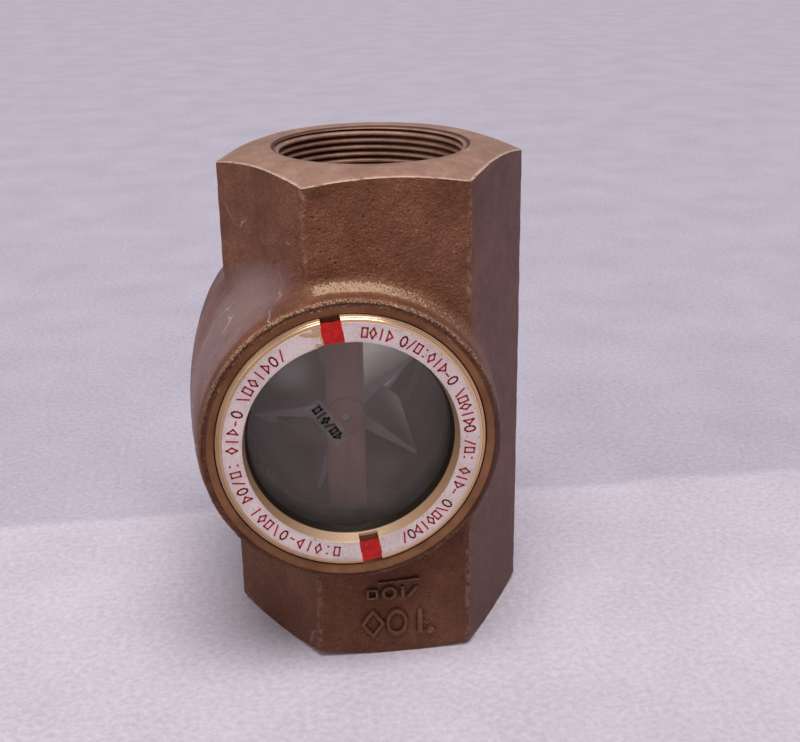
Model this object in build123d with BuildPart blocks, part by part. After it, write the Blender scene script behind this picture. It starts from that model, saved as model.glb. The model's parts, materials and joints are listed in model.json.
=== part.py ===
"""Inline sight glass with a spinning flow rotor, for 2 inch taper-threaded pipe.

Frame: the origin is the centre of the lower pipe port in the bottom face, +Z runs up the pipe
axis, and the two windows face -Y (front) and +Y (rear). All lengths are in millimetres.
"""

import os
from math import sqrt

from build123d import *

# Casting: a hexagonal bar with a port in each end
HEIGHT = 155.5
ACROSS_FLATS = 82.55
CORNER_R = ACROSS_FLATS / sqrt(3)
END_CONE_SLOPE = 0.346  # fall of the machined end cones per millimetre of radius
TOP_FLAT_R = 36.1
BOTTOM_FLAT_R = 40.5

# Pipe ports: crest radius of a 2 inch taper thread at the face, and the bore behind it
PORT_R = 28.3
PORT_DEPTH = 26.0
PORT_LEAD = 0.5
PASSAGE_R = 26.2

# Window barrel: it lies along Y, set off to one side of the pipe so that the flow turns the rotor
WINDOW_X = -12.6
WINDOW_Z = HEIGHT / 2
RIM_R = 44.5
CROWN_R = 47.5
RIM_OUT = 51.3
CHAMBER_R = 31.0
GLASS_BORE_R = 37.6
THREAD_BORE_R = 40.0
THREAD_LEAD = 1.2

# Window stack, measured outwards from the pipe axis, seat first
SEAT = 29.3
SEAL_T = 1.7
GLASS_T = 10.0
CUSHION_T = 1.7
SLIP_T = 0.6
GLASS_IN = SEAT + SEAL_T
GLASS_OUT = GLASS_IN + GLASS_T
SLIP_IN = GLASS_OUT + CUSHION_T
RING_IN = SLIP_IN + SLIP_T
LABEL_T = 0.3
RING_OUT = RIM_OUT - LABEL_T
GLASS_R = 37.0
GLASS_CHAMFER = 0.6
GASKET_R = 37.2
GASKET_HOLE_R = 30.8

# Retaining ring, its spanner slots and the printed ring on its face
RING_R = 39.7
RING_EYE_FACE_R = 31.85
RING_EYE_BACK_R = 30.3
RING_BEVEL = 1.2
SLOT_W = 5.8
SLOT_DEPTH = 3.9
FRONT_SLOT_ANGLE = 97.7
REAR_SLOT_ANGLE = 63.0
LABEL_IN_R = RING_EYE_FACE_R
LABEL_OUT_R = 37.6
MARKER_W = 6.2
MARKER_IN_R = 31.9
MARKER_OUT_R = 38.3

# Rotor carrier: a strap across each seat, with a riveted boss for the shaft
STRAP_W = 11.8
STRAP_T = 1.5
STRAP_END_R = 34.8
STRAP_PLAY = 0.1
BOSS_R = 6.3
BOSS_HEAD_T = 0.8
BOSS_STEM_R = 3.5
BOSS_IN = 25.3
SHAFT_R = 1.5
SHAFT_PRESS_GAP = 0.01
SHAFT_END = 30.4
SHAFT_CHAMFER = 0.3
WASHER_R = 4.5
WASHER_HOLE_R = 1.6
WASHER_T = 0.4

# Rotor
BLADES = 5
FIRST_BLADE_ANGLE = 180.0
BLADE_TIP_R = 28.0
BLADE_ROOT_R = 3.6
BLADE_ROOT_T = 4.9
BLADE_TIP_T = 1.0
BLADE_END = 23.8
HUB_R = 5.4
HUB_END = 24.3
BUSH_R = 2.6
BUSH_BORE_R = 1.55
BUSH_LENGTH = 8.0
BUSH_FLANGE_R = 4.2
BUSH_FLANGE_T = 0.5

# Clear inspection sticker on the front glass
STICKER_L = 15.6
STICKER_W = 5.0
STICKER_T = 0.2
STICKER_X = -6.3
STICKER_Z = 3.2
STICKER_TURN = -56.0

# Each window's plane: local Z points outwards along the window axis, and local Y is up
WINDOW_CENTRE = Vector(WINDOW_X, 0, WINDOW_Z)
WINDOWS = {
    "front": Plane(WINDOW_CENTRE, x_dir=(1, 0, 0), z_dir=(0, -1, 0)),
    "rear": Plane(WINDOW_CENTRE, x_dir=(-1, 0, 0), z_dir=(0, 1, 0)),
}
SLOT_ANGLES = {"front": FRONT_SLOT_ANGLE, "rear": REAR_SLOT_ANGLE}


def save(part, name):
    """Labels a finished piece and writes it as its own file."""
    part.label = name
    export_step(part, f"parts/{name}.step")


def section(window):
    """The half plane through a window's axis: local X is the radius, local Y points outwards."""
    return Plane(window.origin, x_dir=window.x_dir, z_dir=window.x_dir.cross(window.z_dir))


def flat_ring(window, start, thickness, outer_r, inner_r):
    """A plain washer-shaped piece in a window's stack."""
    with BuildPart() as ring:
        with BuildSketch(window.offset(start)):
            Circle(outer_r)
            Circle(inner_r, mode=Mode.SUBTRACT)
        extrude(amount=thickness)
    return ring.part


def make_body_casting():
    """The bronze casting: hexagon, crowned barrel, two ports, chamber and two window bores."""
    corner_drop = (CORNER_R - TOP_FLAT_R) * END_CONE_SLOPE
    foot_rise = (CORNER_R - BOTTOM_FLAT_R) * END_CONE_SLOPE
    port_top = HEIGHT - PORT_DEPTH
    with BuildPart() as casting:
        with BuildSketch(Plane.XY):
            RegularPolygon(radius=CORNER_R, side_count=6)
        extrude(amount=HEIGHT)

        # machined cones on both ends, cut from a profile that is turned about the pipe axis
        with BuildSketch(Plane.XZ):
            with BuildLine():
                Polyline(
                    (TOP_FLAT_R, HEIGHT), (CORNER_R, HEIGHT - corner_drop), (CORNER_R, HEIGHT), close=True
                )
            make_face()
            with BuildLine():
                Polyline((BOTTOM_FLAT_R, 0), (CORNER_R, foot_rise), (CORNER_R, 0), close=True)
            make_face()
        revolve(axis=Axis.Z, mode=Mode.SUBTRACT)

        # barrel with a crowned wall, joined to the hexagon
        with BuildSketch(section(WINDOWS["front"])):
            with BuildLine():
                Polyline((RIM_R, -RIM_OUT), (0, -RIM_OUT), (0, RIM_OUT), (RIM_R, RIM_OUT))
                ThreePointArc((RIM_R, RIM_OUT), (CROWN_R, 0), (RIM_R, -RIM_OUT))
            make_face()
        revolve(axis=Axis(WINDOW_CENTRE, (0, 1, 0)))

        # ports and the passage between them
        with BuildSketch(Plane.XY):
            Circle(PASSAGE_R)
        extrude(amount=HEIGHT, mode=Mode.SUBTRACT)
        with BuildSketch(Plane.XY):
            Circle(PORT_R)
        extrude(amount=PORT_DEPTH, mode=Mode.SUBTRACT)
        with BuildSketch(Plane.XY.offset(port_top)):
            Circle(PORT_R)
        extrude(amount=PORT_DEPTH, mode=Mode.SUBTRACT)
        mouths = (
            casting.edges()
            .filter_by(GeomType.CIRCLE)
            .filter_by(lambda e: abs(e.radius - PORT_R) < 1e-6)
            .sort_by(Axis.Z)
        )
        chamfer([mouths[0], mouths[-1]], PORT_LEAD)

        # rotor chamber right through, then each window's seat, strap pocket and threaded mouth
        with BuildSketch(WINDOWS["front"].offset(-SEAT)):
            Circle(CHAMBER_R)
        extrude(amount=2 * SEAT, mode=Mode.SUBTRACT)
        for window in WINDOWS.values():
            with BuildSketch(window.offset(SEAT - STRAP_T)):
                Circle(STRAP_END_R + STRAP_PLAY)
                Rectangle(STRAP_W + 2 * STRAP_PLAY, 3 * STRAP_END_R, mode=Mode.INTERSECT)
            extrude(amount=STRAP_T, mode=Mode.SUBTRACT)
            with BuildSketch(window.offset(SEAT)):
                Circle(GLASS_BORE_R)
            extrude(amount=RIM_OUT - SEAT, mode=Mode.SUBTRACT)
            with BuildSketch(section(window)):
                with BuildLine():
                    Polyline(
                        (0, RING_IN - SLIP_T),
                        (THREAD_BORE_R, RING_IN - SLIP_T),
                        (THREAD_BORE_R, RIM_OUT - THREAD_LEAD),
                        (THREAD_BORE_R + THREAD_LEAD, RIM_OUT),
                        (0, RIM_OUT),
                        close=True,
                    )
                make_face()
            revolve(axis=Axis(window.origin, window.z_dir), mode=Mode.SUBTRACT)
    save(casting.part, "body_casting")


def make_retaining_ring(side, window):
    """A brass screw-in ring with a tapered eye, a bevelled edge and a spanner slot across its face."""
    with BuildPart() as ring:
        with BuildSketch(section(window)):
            with BuildLine():
                Polyline(
                    (RING_EYE_BACK_R, RING_IN),
                    (RING_R, RING_IN),
                    (RING_R, RING_OUT - RING_BEVEL),
                    (RING_R - RING_BEVEL, RING_OUT),
                    (RING_EYE_FACE_R, RING_OUT),
                    close=True,
                )
            make_face()
        revolve(axis=Axis(window.origin, window.z_dir))
        with BuildSketch(window.offset(RING_OUT - SLOT_DEPTH)):
            Rectangle(3 * RING_R, SLOT_W, rotation=SLOT_ANGLES[side])
        extrude(amount=SLOT_DEPTH, mode=Mode.SUBTRACT)
    save(ring.part, f"{side}_retaining_ring")


def make_label(side, window):
    """The printed ring on the retaining ring's face, parted where the red markers bridge the slot."""
    marker_middle = (MARKER_IN_R + MARKER_OUT_R) / 2
    marker_length = MARKER_OUT_R - MARKER_IN_R
    with BuildPart() as label:
        with BuildSketch(window.offset(RING_OUT)):
            Circle(LABEL_OUT_R)
            Circle(LABEL_IN_R, mode=Mode.SUBTRACT)
            Rectangle(3 * LABEL_OUT_R, MARKER_W, rotation=SLOT_ANGLES[side], mode=Mode.SUBTRACT)
        extrude(amount=LABEL_T)
    save(label.part, f"{side}_label_ring")
    with BuildPart() as markers:
        with BuildSketch(window.offset(RING_OUT)):
            with PolarLocations(marker_middle, 2, start_angle=SLOT_ANGLES[side]):
                Rectangle(marker_length, MARKER_W)
        extrude(amount=LABEL_T)
    save(markers.part, f"{side}_slot_markers")


def make_window_glass(side, window):
    """A thick toughened disc with chamfered edges."""
    with BuildPart() as glass:
        with BuildSketch(window.offset(GLASS_IN)):
            Circle(GLASS_R)
        extrude(amount=GLASS_T)
        chamfer(glass.edges(), GLASS_CHAMFER)
    save(glass.part, f"{side}_window_glass")


def make_window_gaskets(side, window):
    """The seal behind the glass, the cushion in front of it and the washer that the ring turns on."""
    seal = flat_ring(window, SEAT, SEAL_T, GASKET_R, GASKET_HOLE_R)
    save(seal, f"{side}_seal_gasket")
    cushion = flat_ring(window, GLASS_OUT, CUSHION_T, GASKET_R, GASKET_HOLE_R)
    save(cushion, f"{side}_cushion_gasket")
    slip = flat_ring(window, SLIP_IN, SLIP_T, GASKET_R, GASKET_HOLE_R)
    save(slip, f"{side}_slip_washer")


def make_bracket(side, window):
    """The strap that spans the seat, its riveted boss and the thrust washer behind the boss."""
    with BuildPart() as strap:
        with BuildSketch(window.offset(SEAT - STRAP_T)):
            Circle(STRAP_END_R)
            Rectangle(STRAP_W, 3 * STRAP_END_R, mode=Mode.INTERSECT)
            Circle(BOSS_STEM_R, mode=Mode.SUBTRACT)
        extrude(amount=STRAP_T)
    save(strap.part, f"{side}_bracket_strap")
    with BuildPart() as boss:
        with BuildSketch(window.offset(BOSS_IN)):
            Circle(BOSS_STEM_R)
        extrude(amount=SEAT - BOSS_IN)
        with BuildSketch(window.offset(SEAT)):
            Circle(BOSS_R)
        extrude(amount=BOSS_HEAD_T)
        rim = boss.faces().sort_by(Axis(window.origin, window.z_dir))[-1].edges()
        chamfer(rim, BOSS_HEAD_T / 2)
        with BuildSketch(window):
            Circle(SHAFT_R + SHAFT_PRESS_GAP)
        extrude(amount=SHAFT_END, mode=Mode.SUBTRACT)
    save(boss.part, f"{side}_shaft_boss")
    washer = flat_ring(window, BOSS_IN - WASHER_T, WASHER_T, WASHER_R, WASHER_HOLE_R)
    save(washer, f"{side}_thrust_washer")


def make_rotor_bush(side, window):
    """A flanged bush pressed into one end of the rotor's hub."""
    with BuildPart() as bush:
        with BuildSketch(window.offset(HUB_END)):
            Circle(BUSH_FLANGE_R)
        extrude(amount=BUSH_FLANGE_T)
        with BuildSketch(window.offset(HUB_END - BUSH_LENGTH)):
            Circle(BUSH_R)
        extrude(amount=BUSH_LENGTH)
        with BuildSketch(window.offset(HUB_END - BUSH_LENGTH)):
            Circle(BUSH_BORE_R)
        extrude(amount=BUSH_LENGTH + BUSH_FLANGE_T, mode=Mode.SUBTRACT)
    save(bush.part, f"{side}_rotor_bush")


def make_rotor():
    """A hub with wedge-shaped blades that run its whole length."""
    front = WINDOWS["front"]
    blade = [
        (BLADE_ROOT_R, -BLADE_ROOT_T / 2),
        (BLADE_TIP_R, -BLADE_TIP_T / 2),
        (BLADE_TIP_R, BLADE_TIP_T / 2),
        (BLADE_ROOT_R, BLADE_ROOT_T / 2),
    ]
    with BuildPart() as rotor:
        with BuildSketch(front.offset(-BLADE_END)):
            with PolarLocations(0, BLADES, start_angle=FIRST_BLADE_ANGLE):
                Polygon(*blade, align=None)
        extrude(amount=2 * BLADE_END)
        with BuildSketch(front.offset(-HUB_END)):
            Circle(HUB_R)
        extrude(amount=2 * HUB_END)
        with BuildSketch(front.offset(-HUB_END)):
            Circle(BUSH_R)
        extrude(amount=2 * HUB_END, mode=Mode.SUBTRACT)
    save(rotor.part, "rotor")


def make_shaft():
    """The fixed pin that the rotor spins on, pressed into both bosses."""
    with BuildPart() as shaft:
        with BuildSketch(WINDOWS["front"].offset(-SHAFT_END)):
            Circle(SHAFT_R)
        extrude(amount=2 * SHAFT_END)
        chamfer(shaft.edges().filter_by(GeomType.CIRCLE), SHAFT_CHAMFER)
    save(shaft.part, "rotor_shaft")


def make_inspection_sticker():
    """A small clear film stuck askew on the front glass."""
    with BuildPart() as sticker:
        with BuildSketch(WINDOWS["front"].offset(GLASS_OUT)):
            with Locations((STICKER_X, STICKER_Z)):
                RectangleRounded(STICKER_L, STICKER_W, STICKER_W / 8, rotation=STICKER_TURN)
        extrude(amount=STICKER_T)
    save(sticker.part, "inspection_sticker")


os.makedirs("parts", exist_ok=True)
make_body_casting()
for side, window in WINDOWS.items():
    make_retaining_ring(side, window)
    make_label(side, window)
    make_window_glass(side, window)
    make_window_gaskets(side, window)
    make_bracket(side, window)
    make_rotor_bush(side, window)
make_rotor()
make_shaft()
make_inspection_sticker()
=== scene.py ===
# %% [markdown]
# # A bronze sight glass with a spinning flow rotor
# The real fitting is a sand-cast bronze hexagon with a pipe thread in each end. A round barrel
# crosses it, and each end of the barrel holds a thick glass behind a screwed brass ring. This lesson
# builds its looks round a fixed frame of engineering solids: the frame gives every size and place,
# and each cell below adds one piece or one finish.

# %% Load the frame and keep its box
import itertools
import json
import math

import bpy
from mathutils import Matrix, Vector


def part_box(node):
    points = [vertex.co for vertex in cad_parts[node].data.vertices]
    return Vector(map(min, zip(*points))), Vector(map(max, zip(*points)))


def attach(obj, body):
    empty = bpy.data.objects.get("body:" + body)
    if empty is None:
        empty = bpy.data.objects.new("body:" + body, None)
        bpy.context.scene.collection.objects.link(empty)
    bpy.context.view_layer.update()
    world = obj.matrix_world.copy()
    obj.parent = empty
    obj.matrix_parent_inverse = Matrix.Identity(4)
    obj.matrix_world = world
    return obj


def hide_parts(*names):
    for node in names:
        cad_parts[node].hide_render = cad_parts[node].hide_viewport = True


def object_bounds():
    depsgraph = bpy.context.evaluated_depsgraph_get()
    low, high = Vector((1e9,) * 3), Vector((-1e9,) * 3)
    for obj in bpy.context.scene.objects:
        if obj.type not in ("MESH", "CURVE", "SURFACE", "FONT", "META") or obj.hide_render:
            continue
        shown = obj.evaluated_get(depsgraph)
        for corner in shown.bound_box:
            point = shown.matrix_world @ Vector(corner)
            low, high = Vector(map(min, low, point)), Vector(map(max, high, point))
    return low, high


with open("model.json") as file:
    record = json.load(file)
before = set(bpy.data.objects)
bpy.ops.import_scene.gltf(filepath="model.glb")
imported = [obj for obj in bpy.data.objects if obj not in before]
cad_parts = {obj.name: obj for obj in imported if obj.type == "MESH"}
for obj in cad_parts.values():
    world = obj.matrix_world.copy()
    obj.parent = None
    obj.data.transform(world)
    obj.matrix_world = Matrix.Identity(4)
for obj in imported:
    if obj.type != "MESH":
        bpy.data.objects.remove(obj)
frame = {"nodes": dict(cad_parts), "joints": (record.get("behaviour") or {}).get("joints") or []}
cad_low, cad_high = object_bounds()
bpy.ops.object.select_all(action="DESELECT")
MM = 0.001
print("frame box, mm:", [round(v / MM, 1) for v in cad_high - cad_low])

# %% [markdown]
# Every size comes from the frame. The window's axis is the rotor's hinge, the hexagon's corners lie on
# X, and each window piece is measured outwards from the hinge. Only the details that the solids leave
# out, such as thread depth, are stated here.

# %% Sizes read from the frame
CENTRE = Vector(frame["joints"][0]["pos_m"])
HEIGHT = cad_high.z
CORNER_R = cad_high.x
FLAT = CORNER_R * math.cos(math.radians(30))
RIM_OUT = cad_high.y


def outer_radius(node):
    """A round window piece's radius, from its box."""
    low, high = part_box(node)
    return (high.z - low.z) / 2


def reach(node):
    """How far a front window piece runs from the hinge: its inner and outer distance along -Y."""
    low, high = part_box(node)
    return -high.y, -low.y


RING_R = outer_radius("front_retaining_ring")
GLASS_R = outer_radius("front_window_glass")
LABEL_R = outer_radius("front_label_ring")
RING_IN, RING_OUT = reach("front_retaining_ring")
GLASS_IN, GLASS_OUT = reach("front_window_glass")
SEAT = reach("front_seal_gasket")[0]
print("hexagon across flats, mm:", round(2 * FLAT / MM, 2), "height, mm:", round(HEIGHT / MM, 1))

# %% [markdown]
# The camera stands to the left of the front window and looks down at it by about 21 degrees, from a
# little over 0.4 m. Its place is set before anything else, so that every later cell can be judged from
# where the fitting is seen.

# %% Camera
CAMERA_FROM_PORT = Vector((-0.0407, -0.3907, 0.2315))
CAMERA_YAW = math.radians(7.11)
CAMERA_PITCH = math.radians(21.03)
CAMERA_ROLL = math.radians(-0.88)
FOCAL_LENGTH = 57.8

bpy.ops.object.camera_add(location=CAMERA_FROM_PORT)
camera = bpy.context.object
turned = Matrix.Rotation(-CAMERA_YAW, 3, "Z") @ Matrix.Rotation(math.pi / 2 - CAMERA_PITCH, 3, "X")
camera.rotation_euler = (turned @ Matrix.Rotation(CAMERA_ROLL, 3, "Z")).to_euler()
camera.data.lens = FOCAL_LENGTH
camera.data.clip_start = 0.01
bpy.context.scene.camera = camera
print("camera height over the floor, mm:", round(camera.location.z / MM))

# %% [markdown]
# ## Hand tools
# A turned piece is drawn as half an outline and spun about its axis, as on a lathe. The outline starts
# as one point, and each further point is pulled out of the last one by an extrusion.

# %% Modelling helpers
TURN_STEPS = 128
JOIN_GAP = MM / 500


def select_only(piece):
    """Makes one object active and the only one selected."""
    bpy.ops.object.select_all(action="DESELECT")
    piece.select_set(True)
    bpy.context.view_layer.objects.active = piece


def start_outline(name, first):
    """A new object in edit mode that holds one point, ready to be pulled into an outline."""
    bpy.ops.mesh.primitive_plane_add(size=MM, location=(0, 0, 0))
    piece = bpy.context.object
    piece.name = name
    bpy.ops.object.mode_set(mode="EDIT")
    bpy.ops.mesh.select_all(action="SELECT")
    bpy.ops.mesh.merge(type="CENTER")
    bpy.ops.transform.translate(value=(first[0], 0, first[1]))
    return piece


def pull_outline(points):
    """Extrudes the selected point from one place to the next."""
    for (r0, z0), (r1, z1) in zip(points, points[1:]):
        bpy.ops.mesh.extrude_region_move(TRANSFORM_OT_translate={"value": (r1 - r0, 0, z1 - z0)})


def join_doubles():
    """In edit mode: joins doubled points and leaves everything selected."""
    bpy.ops.mesh.select_all(action="SELECT")
    bpy.ops.mesh.remove_doubles(threshold=JOIN_GAP)


def lathe(name, points, closed=True, steps=TURN_STEPS):
    """Spins an outline of (radius, height) points about Z and returns the closed piece."""
    piece = start_outline(name, points[0])
    pull_outline([*points, points[0]] if closed else points)
    join_doubles()
    bpy.ops.mesh.spin(steps=steps, angle=2 * math.pi, center=(0, 0, 0), axis=(0, 0, 1))
    join_doubles()
    bpy.ops.mesh.normals_make_consistent(inside=False)
    bpy.ops.object.mode_set(mode="OBJECT")
    return piece


def block(size, location=(0, 0, 0), turn=(0, 0, 0)):
    """A box of a given size, turned and moved to its place."""
    bpy.ops.mesh.primitive_cube_add(size=1, location=location, rotation=turn)
    return settle(bpy.context.object, size)


def settle(piece, size=(1, 1, 1)):
    """Scales a piece and makes its size, turn and place part of its mesh."""
    select_only(piece)
    piece.scale = size
    bpy.ops.object.transform_apply(location=True, rotation=True, scale=True)
    return piece


def join(pieces, name):
    """Makes one object of several."""
    select_only(pieces[0])
    for piece in pieces[1:]:
        piece.select_set(True)
    bpy.ops.object.join()
    pieces[0].name = name
    return pieces[0]


def apply_modifier(piece, kind, **settings):
    """Adds a modifier, sets it and applies it at once."""
    select_only(piece)
    modifier = piece.modifiers.new(kind.title(), kind)
    for key, value in settings.items():
        setattr(modifier, key, value)
    bpy.ops.object.modifier_apply(modifier=modifier.name)


def cut(piece, tool, operation="DIFFERENCE"):
    """Cuts one solid with another, then throws the tool away."""
    apply_modifier(piece, "BOOLEAN", operation=operation, object=tool, solver="MANIFOLD")
    bpy.data.objects.remove(tool)


def roughen(piece, name, kind, size, **settings):
    """Pushes a skin in and out by a noise whose lumps are `size` metres across."""
    noise = bpy.data.textures.new(name, kind)
    noise.noise_scale = size
    apply_modifier(piece, "DISPLACE", texture=noise, texture_coords="LOCAL", **settings)


def shade(piece, angle=30):
    """Smooth shading that keeps edges sharper than the angle."""
    select_only(piece)
    bpy.ops.object.shade_smooth_by_angle(angle=math.radians(angle))


def place(piece, side="front", spin=0.0):
    """Moves a piece from the lathe's axis into a window: its +Z end faces out, and +Y stays up."""
    half_turn = math.pi if side == "rear" else 0.0
    piece.rotation_euler = (
        Matrix.Rotation(half_turn, 3, "Z")
        @ Matrix.Rotation(math.pi / 2, 3, "X")
        @ Matrix.Rotation(spin, 3, "Z")
    ).to_euler()
    piece.location = CENTRE
    return settle(piece)


def copy_of(piece, name):
    """A copy with its own mesh."""
    select_only(piece)
    bpy.ops.object.duplicate()
    made = bpy.context.object
    made.name = name
    return made


def fit(piece, body, slot, nodes=(), finish=None):
    """Hands a finished piece over: it rides on a body, stands for its nodes and wears a finish."""
    if finish is not None:
        piece.data.materials.clear()
        piece.data.materials.append(finish)
    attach(piece, body)
    if nodes:
        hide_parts(*nodes)
    print(f"{piece.name}: {len(piece.data.polygons)} faces")


print("hand tools ready")

# %% [markdown]
# ## Finishes
# A finish is a small tree of nodes. The class below wraps one socket, so that the sums behind a
# pattern can be written as plain expressions, and everything that is not a sum goes through one
# method, `node`.

# %% Shader maths
class Value:
    """One output of a finish's nodes, which can be added, multiplied and compared."""

    def __init__(self, finish, socket):
        self.finish = finish
        self.socket = socket

    def maths(self, operation, first, second=None, clamp=False):
        inputs = {0: first} if second is None else {0: first, 1: second}
        return self.finish.node("Math", {"operation": operation, "use_clamp": clamp}, inputs)

    def __add__(self, other):
        return self.maths("ADD", self, other)

    __radd__ = __add__

    def __sub__(self, other):
        return self.maths("SUBTRACT", self, other)

    def __rsub__(self, other):
        return self.maths("SUBTRACT", other, self)

    def __mul__(self, other):
        return self.maths("MULTIPLY", self, other)

    __rmul__ = __mul__

    def __pow__(self, power):
        return self.maths("POWER", self, power)

    def clamped(self):
        return self.maths("ADD", self, 0.0, clamp=True)

    def step(self, start, end):
        """Rises smoothly from 0 at start to 1 at end."""
        limits = {"Value": self, "From Min": start, "From Max": end}
        return self.finish.node("MapRange", {"interpolation_type": "SMOOTHSTEP"}, limits)

    def size(self):
        """The value without its sign."""
        return self.maths("ABSOLUTE", self)

    def larger(self, other):
        return self.maths("MAXIMUM", self, other)

    def sine(self):
        return self.maths("SINE", self)


class Finish:
    """A material with one Principled shader, built up by methods."""

    def __init__(self, name, **constants):
        self.material = bpy.data.materials.new(name)
        self.material.use_nodes = True
        self.tree = self.material.node_tree
        self.shader = self.tree.nodes["Principled BSDF"]
        for socket, value in constants.items():
            self.shader.inputs[socket.replace("_", " ")].default_value = value
        self.place = self.node("TexCoord", output="Object")

    def plug(self, value, socket):
        """Links a value to a socket, or sets it there if it is a plain number."""
        if isinstance(value, Value):
            self.tree.links.new(value.socket, socket)
        else:
            socket.default_value = value

    def node(self, kind, settings=None, inputs=None, output=0):
        """Adds a node: its settings first, then the values or links of its sockets."""
        made = self.tree.nodes.new("ShaderNode" + kind)
        for key, value in (settings or {}).items():
            if key == "stops":
                self.set_stops(made.color_ramp, value)
            else:
                setattr(made, key, value)
        for key, value in (inputs or {}).items():
            self.plug(value, made.inputs[key])
        return Value(self, made.outputs[output])

    def set_stops(self, ramp, stops):
        while len(ramp.elements) > 1:
            ramp.elements.remove(ramp.elements[-1])
        ramp.elements[0].position, ramp.elements[0].color = stops[0]
        for position, colour in stops[1:]:
            ramp.elements.new(position).color = colour

    def noise(self, size, detail=2.0, roughness=0.5, stretch=(1, 1, 1), distortion=0.0):
        """Cloudy noise whose blotches are about `size` metres across."""
        where = self.node("Mapping", {"vector_type": "POINT"}, {"Vector": self.place, "Scale": stretch})
        look = {"Detail": detail, "Roughness": roughness, "Distortion": distortion}
        return self.node("TexNoise", None, {"Vector": where, "Scale": 1 / size, **look})

    def cells(self, size):
        """Distance to the nearest of many scattered points about `size` apart."""
        return self.node("TexVoronoi", None, {"Vector": self.place, "Scale": 1 / size})

    def warped(self, size, amount):
        """The place, pushed about by noise, so that a pattern read there is bent."""
        push = self.node("TexNoise", None, {"Vector": self.place, "Scale": 1 / size}, output="Color")
        push = self.node("VectorMath", {"operation": "SUBTRACT"}, {0: push, 1: (0.5, 0.5, 0.5)})
        push = self.node("VectorMath", {"operation": "SCALE"}, {0: push, "Scale": amount * 2})
        return self.node("VectorMath", {"operation": "ADD"}, {0: self.place, 1: push})

    def axis(self, letter):
        return self.node("SeparateXYZ", None, {0: self.place}, output=letter)

    def radius(self, first, second):
        return (first * first + second * second) ** 0.5

    def where(self):
        """A point's three coordinates, and its distance from the windows' axis."""
        x, y, z = (self.axis(letter) for letter in "XYZ")
        return x, y, z, self.radius(x - CENTRE.x, z - CENTRE.z)

    def mix(self, factor, first, second):
        """Blends two colours."""
        return self.node("Mix", {"data_type": "RGBA"}, {0: factor, 6: first, 7: second}, output=2)

    def ramp(self, value, *stops):
        return self.node("ValToRGB", {"stops": stops}, {0: value})

    def tones(self, value, colours):
        """A ramp of three colours over the middle third of a noise."""
        return self.ramp(value, *zip((0.34, 0.50, 0.66), colours))

    def bump(self, height, distance, strength):
        return self.node("Bump", None, {"Height": height, "Distance": distance, "Strength": strength})

    def wear(self, **sockets):
        """Feeds patterned values to the shader's own sockets and returns the material."""
        for socket, value in sockets.items():
            self.plug(value, self.shader.inputs[socket.replace("_", " ")])
        return self.material


def rgb(red, green, blue):
    return (red, green, blue, 1.0)


print("shader tools ready")

# %% [markdown]
# The casting is bronze as it left the sand mould: a dull brown skin with a fine grain, a purple bloom
# where air has tarnished it, stains, pits and pale scratches from handling. The grain is bump, with
# glints on it that are painted highlights, and the stains are slow noise. The scratches branch, so they
# are the borders between large scattered cells. Edges are rubbed pale, with painted highlights on the
# upper edges, the top of the rim's crest and the fillet over the barrel. Painted shade darkens the
# hollow behind the crest, the pits, the creases, the right-hand faces and the lower part.

# %% Cast bronze
# the pale colour serves rubbed wear and painted glints and highlights, the gold one is a painted
# highlight, and the darkest one serves real stains and painted shade
PALE_WEAR_AND_GLINT = rgb(0.72, 0.48, 0.31)
GOLD_HIGHLIGHT = rgb(0.88, 0.60, 0.39)
DUSTY = rgb(0.37, 0.255, 0.245)
STAIN_AND_SHADE = rgb(0.060, 0.026, 0.016)
BROWN = (rgb(0.125, 0.044, 0.021), rgb(0.205, 0.074, 0.038), rgb(0.300, 0.115, 0.062))
MAUVE = (rgb(0.135, 0.065, 0.056), rgb(0.200, 0.100, 0.086), rgb(0.290, 0.155, 0.135))
PALE_SCRATCH = rgb(0.62, 0.50, 0.47)
# each zone's edge fades between two distances, along an axis or out from the window's axis
RIGHT_FACES = (21 * MM, 30 * MM)
WALL_END = (RIM_OUT - 6 * MM, RIM_OUT - 3.5 * MM)
WALL_LEFT = (6 * MM, 26 * MM)
BAND_HEIGHT = (14 * MM, 34 * MM)
BAND_START = (-26 * MM, -20 * MM)
BAND_FADE = (-10 * MM, 20 * MM)
RIM_TOP = (RIM_OUT - 1.9 * MM, RIM_OUT - 1.2 * MM)
RIM_CREST = (43.0 * MM, 43.6 * MM)
RIM_HOLLOW = (42.0 * MM, 43.8 * MM)
PAST_BARREL = (49 * MM, 51 * MM)
ARRIS = (46.95 * MM, 47.3 * MM)
PROUD_OF_FACE = (FLAT + 0.5 * MM, FLAT + 0.9 * MM)
MARKS_TOP = (32 * MM, 29 * MM)
SCRATCHED_SIDE = (20 * MM, 30 * MM)
SCRATCHED_FRONT = (-22 * MM, 8 * MM)
FOOT = (0.0, 80 * MM)


def between(value, low, high, blur):
    """1 where a value lies between two limits, fading to 0 over a blur outside them."""
    return value.step(low - blur, low) * (1 - value.step(high, high + blur))


def edge_wear(f):
    """1 on the outward edges of a mesh, where rubbing has brightened them, broken up by noise."""
    bare = f.node("NewGeometry", output="Pointiness").step(0.54, 0.66)
    return bare * f.noise(1.3 * MM, detail=3.0, roughness=0.7).step(0.38, 0.62)


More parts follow.
